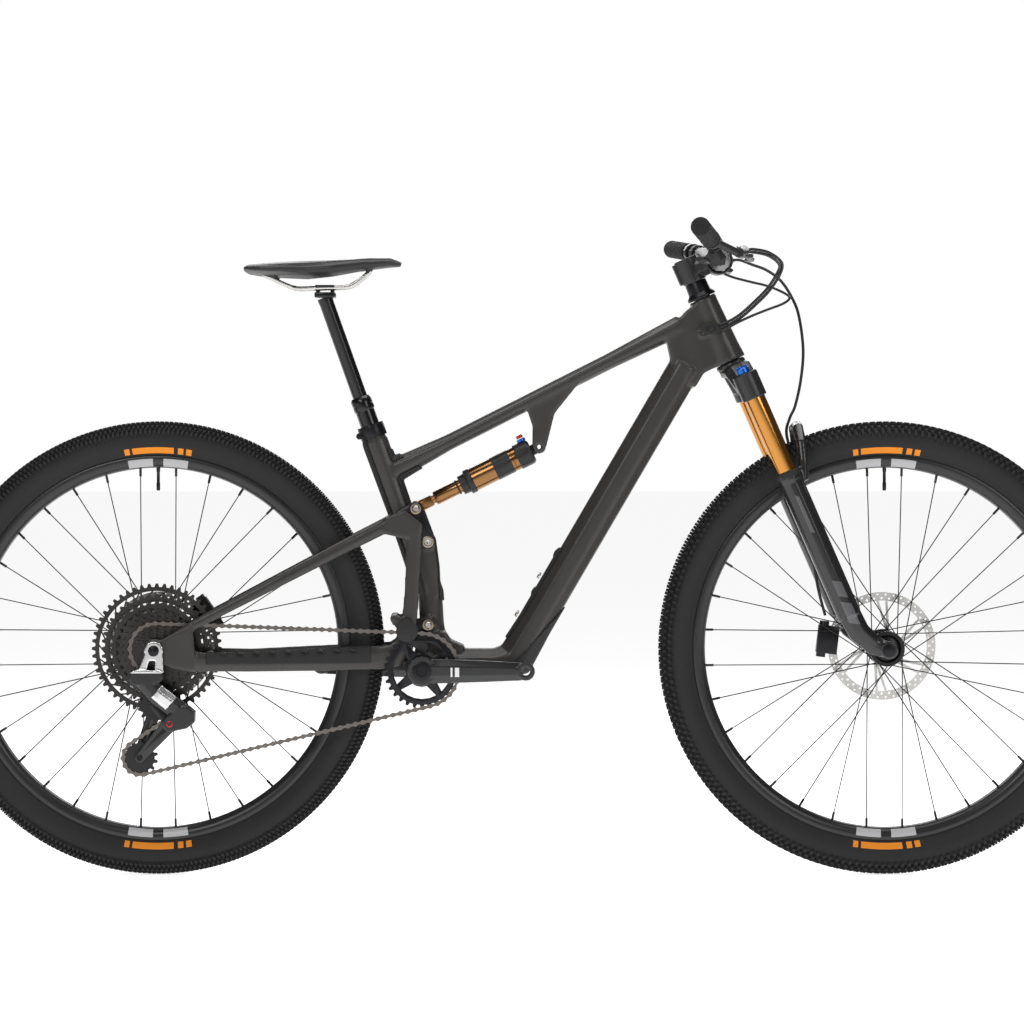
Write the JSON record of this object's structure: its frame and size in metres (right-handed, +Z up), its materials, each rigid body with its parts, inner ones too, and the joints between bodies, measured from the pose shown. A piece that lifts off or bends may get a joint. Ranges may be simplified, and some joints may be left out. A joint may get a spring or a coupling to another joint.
{
  "type": "full-suspension mountain bike",
  "caption": "Full-suspension trail bike with a telescopic fork, linkage-driven rear shock, dropper seatpost, disc brakes and a wide-range rear derailleur.",
  "frame": {"origin": "on the ground, midway between the two axles, in the middle plane", "axes": "+X forward, +Y the rider's left, +Z up; the drive side is -Y"},
  "size_m": [1.9516, 0.776, 1.0669],
  "materials": {
    "frame_paint": "satin charcoal",
    "black_alloy": "satin anodised",
    "tyre": "matt",
    "grip_rubber": "matt",
    "shock_bronze": "glossy",
    "stanchion_gold": "polished",
    "steel": "bright",
    "satin_carbon": "satin",
    "fork_black": "semi-gloss",
    "black_plastic": "matt",
    "hose": "satin",
    "blue_anodised": "anodised",
    "spoke_steel": "black satin"
  },
  "bodies": {
    "frame": {"front_frame": "frame_paint", "seat_clamp": "black_alloy", "dropper_outer_tube": "black_alloy", "bottom_bracket": "black_alloy", "chain_guide": "black_plastic"},
    "seat": {"dropper_post": "black_alloy", "saddle": "grip_rubber"},
    "fork_upper": {"fork_crown_steerer": "fork_black", "stanchion_right": "stanchion_gold", "stanchion_left": "stanchion_gold", "headset_upper": "black_alloy", "stem": "black_alloy", "handlebar": "satin_carbon", "grip_right": "grip_rubber", "grip_left": "grip_rubber", "brake_body_right": "black_alloy", "brake_body_left": "black_alloy", "dropper_remote": "black_alloy", "shift_pod": "black_plastic", "rear_hose_pair": "hose", "dropper_housing": "hose", "front_brake_hose": "hose"},
    "damper": {"damper_knob": "blue_anodised"},
    "fork_lower": {"fork_lowers": "fork_black", "front_axle": "black_alloy", "front_caliper": "black_alloy"},
    "front_wheel": {"front_tyre": "tyre", "front_rim": "satin_carbon", "front_spokes_right": "spoke_steel", "front_spokes_left": "spoke_steel", "front_hub": "black_alloy", "front_rotor": "steel"},
    "lever_right": {"brake_blade_right": "black_alloy"},
    "lever_left": {"brake_blade_left": "black_alloy"},
    "seat_lever": {"dropper_paddle": "black_plastic"},
    "shift_lever": {"shift_paddle": "black_plastic"},
    "upper_link": {"upper_link": "black_alloy"},
    "lower_link": {"lower_link": "black_alloy"},
    "swingarm": {"rear_triangle": "frame_paint", "rear_axle": "black_alloy", "rear_caliper": "black_alloy", "derailleur_body": "black_alloy", "chain_rear": "steel"},
    "rear_wheel": {"rear_tyre": "tyre", "rear_rim": "satin_carbon", "rear_spokes_right": "spoke_steel", "rear_spokes_left": "spoke_steel", "rear_hub": "black_alloy", "rear_rotor": "steel"},
    "cassette": {"cassette": "black_alloy"},
    "cage": {"derailleur_cage": "black_plastic", "chain_cage": "steel"},
    "guide_pulley": {"guide_pulley": "black_plastic"},
    "tension_pulley": {"tension_pulley": "black_plastic"},
    "cranks": {"crank_right": "satin_carbon", "crank_left": "satin_carbon", "chainring": "black_alloy"},
    "chain_run": {"chain_front": "steel"},
    "shock_can": {"shock_body": "shock_bronze"},
    "shock_rod": {"shock_shaft": "shock_bronze"}
  },
  "joints": [
    {"name": "steering", "type": "hinge", "parent": "frame", "child": "fork_upper", "pos_m": [0.34667, 0, 0.84398], "axis": [-0.3987, 0, 0.9171], "range_deg": [-60, 60], "deforming": ["rear_hose_pair", "dropper_housing"]},
    {"name": "fork_travel", "type": "slide", "parent": "fork_upper", "child": "fork_lower", "axis": [-0.3987, 0, 0.9171], "range_m": [0, 0.13], "stiffness_N_per_m": 5000, "deforming": ["front_brake_hose"]},
    {"name": "front_wheel_spin", "type": "hinge", "parent": "fork_lower", "child": "front_wheel", "pos_m": [0.60075, 0, 0.375], "axis": [0, 1, 0], "continuous": true},
    {"name": "damper_turn", "type": "hinge", "parent": "fork_upper", "child": "damper", "pos_m": [0.35492, -0.065, 0.84757], "axis": [-0.3987, 0, 0.9171], "range_deg": [0, 90]},
    {"name": "brake_lever_right", "type": "hinge", "parent": "fork_upper", "child": "lever_right", "pos_m": [0.35336, -0.202, 1.00992], "axis": [0, 0, 1], "range_deg": [-20, 0], "stiffness_Nm_per_rad": 0.6},
    {"name": "brake_lever_left", "type": "hinge", "parent": "fork_upper", "child": "lever_left", "pos_m": [0.35336, 0.202, 1.00992], "axis": [0, 0, 1], "range_deg": [0, 20], "stiffness_Nm_per_rad": 0.6},
    {"name": "dropper_lever", "type": "hinge", "parent": "fork_upper", "child": "seat_lever", "pos_m": [0.3025, 0.184, 0.99641], "axis": [0, 0, 1], "range_deg": [-20, 0], "stiffness_Nm_per_rad": 0.6},
    {"name": "shift_lever_push", "type": "hinge", "parent": "fork_upper", "child": "shift_lever", "pos_m": [0.30015, -0.186, 1.00358], "axis": [0, 0, 1], "range_deg": [-20, 0], "stiffness_Nm_per_rad": 0.6},
    {"name": "dropper_slide", "type": "slide", "parent": "frame", "child": "seat", "axis": [0.3348, 0, -0.9423], "range_m": [0, 0.15]},
    {"name": "rear_suspension", "type": "hinge", "parent": "frame", "child": "upper_link", "pos_m": [-0.15415, 0, 0.5508], "axis": [0, 1, 0], "range_deg": [0, 56], "stiffness_Nm_per_rad": 60},
    {"name": "upper_stay_pivot", "type": "hinge", "parent": "upper_link", "child": "swingarm", "pos_m": [-0.17425, 0, 0.6052], "axis": [0, 1, 0], "range_deg": [-40, 0]},
    {"name": "lower_link_pivot", "type": "hinge", "parent": "frame", "child": "lower_link", "pos_m": [-0.15405, 0, 0.4141], "axis": [0, 1, 0], "range_deg": [0, 8.3]},
    {"name": "shock_eye", "type": "hinge", "parent": "frame", "child": "shock_can", "pos_m": [0.02935, 0, 0.707], "axis": [0, 1, 0], "range_deg": [-9.6, 0]},
    {"name": "shock_stroke", "type": "slide", "parent": "shock_can", "child": "shock_rod", "axis": [0.8944, 0, 0.4472], "range_m": [0, 0.0425]},
    {"name": "rear_wheel_spin", "type": "hinge", "parent": "swingarm", "child": "rear_wheel", "pos_m": [-0.60075, 0, 0.375], "axis": [0, 1, 0], "continuous": true},
    {"name": "cassette_spin", "type": "hinge", "parent": "swingarm", "child": "cassette", "pos_m": [-0.60075, 0, 0.375], "axis": [0, 1, 0], "continuous": true},
    {"name": "cage_turn", "type": "hinge", "parent": "swingarm", "child": "cage", "pos_m": [-0.57485, 0, 0.2557], "axis": [0, 1, 0], "range_deg": [-6.1, 0]},
    {"name": "guide_pulley_spin", "type": "hinge", "parent": "cage", "child": "guide_pulley", "pos_m": [-0.60065, 0, 0.2825], "axis": [0, 1, 0], "continuous": true},
    {"name": "tension_pulley_spin", "type": "hinge", "parent": "cage", "child": "tension_pulley", "pos_m": [-0.62665, 0, 0.197], "axis": [0, 1, 0], "continuous": true},
    {"name": "crank_spin", "type": "hinge", "parent": "frame", "child": "cranks", "pos_m": [-0.16375, 0, 0.3406], "axis": [0, 1, 0], "continuous": true},
    {"name": "chain_run_turn", "type": "hinge", "parent": "frame", "child": "chain_run", "pos_m": [-0.16375, 0, 0.3406], "axis": [0, 1, 0], "range_deg": [0, 15.5]}
  ],
  "couplings": [
    {"joint": "upper_stay_pivot", "follows": "rear_suspension", "ratio": -0.7125},
    {"joint": "lower_link_pivot", "follows": "rear_suspension", "ratio": 0.1471},
    {"joint": "shock_eye", "follows": "rear_suspension", "ratio": -0.17025},
    {"joint": "shock_stroke", "follows": "rear_suspension", "m_per_rad": 0.043415},
    {"joint": "cage_turn", "follows": "rear_suspension", "ratio": -0.107},
    {"joint": "chain_run_turn", "follows": "rear_suspension", "ratio": 0.274},
    {"joint": "cassette_spin", "follows": "crank_spin", "ratio": 1.4286},
    {"joint": "guide_pulley_spin", "follows": "crank_spin", "ratio": -2.1429},
    {"joint": "tension_pulley_spin", "follows": "crank_spin", "ratio": 2.1429}
  ]
}
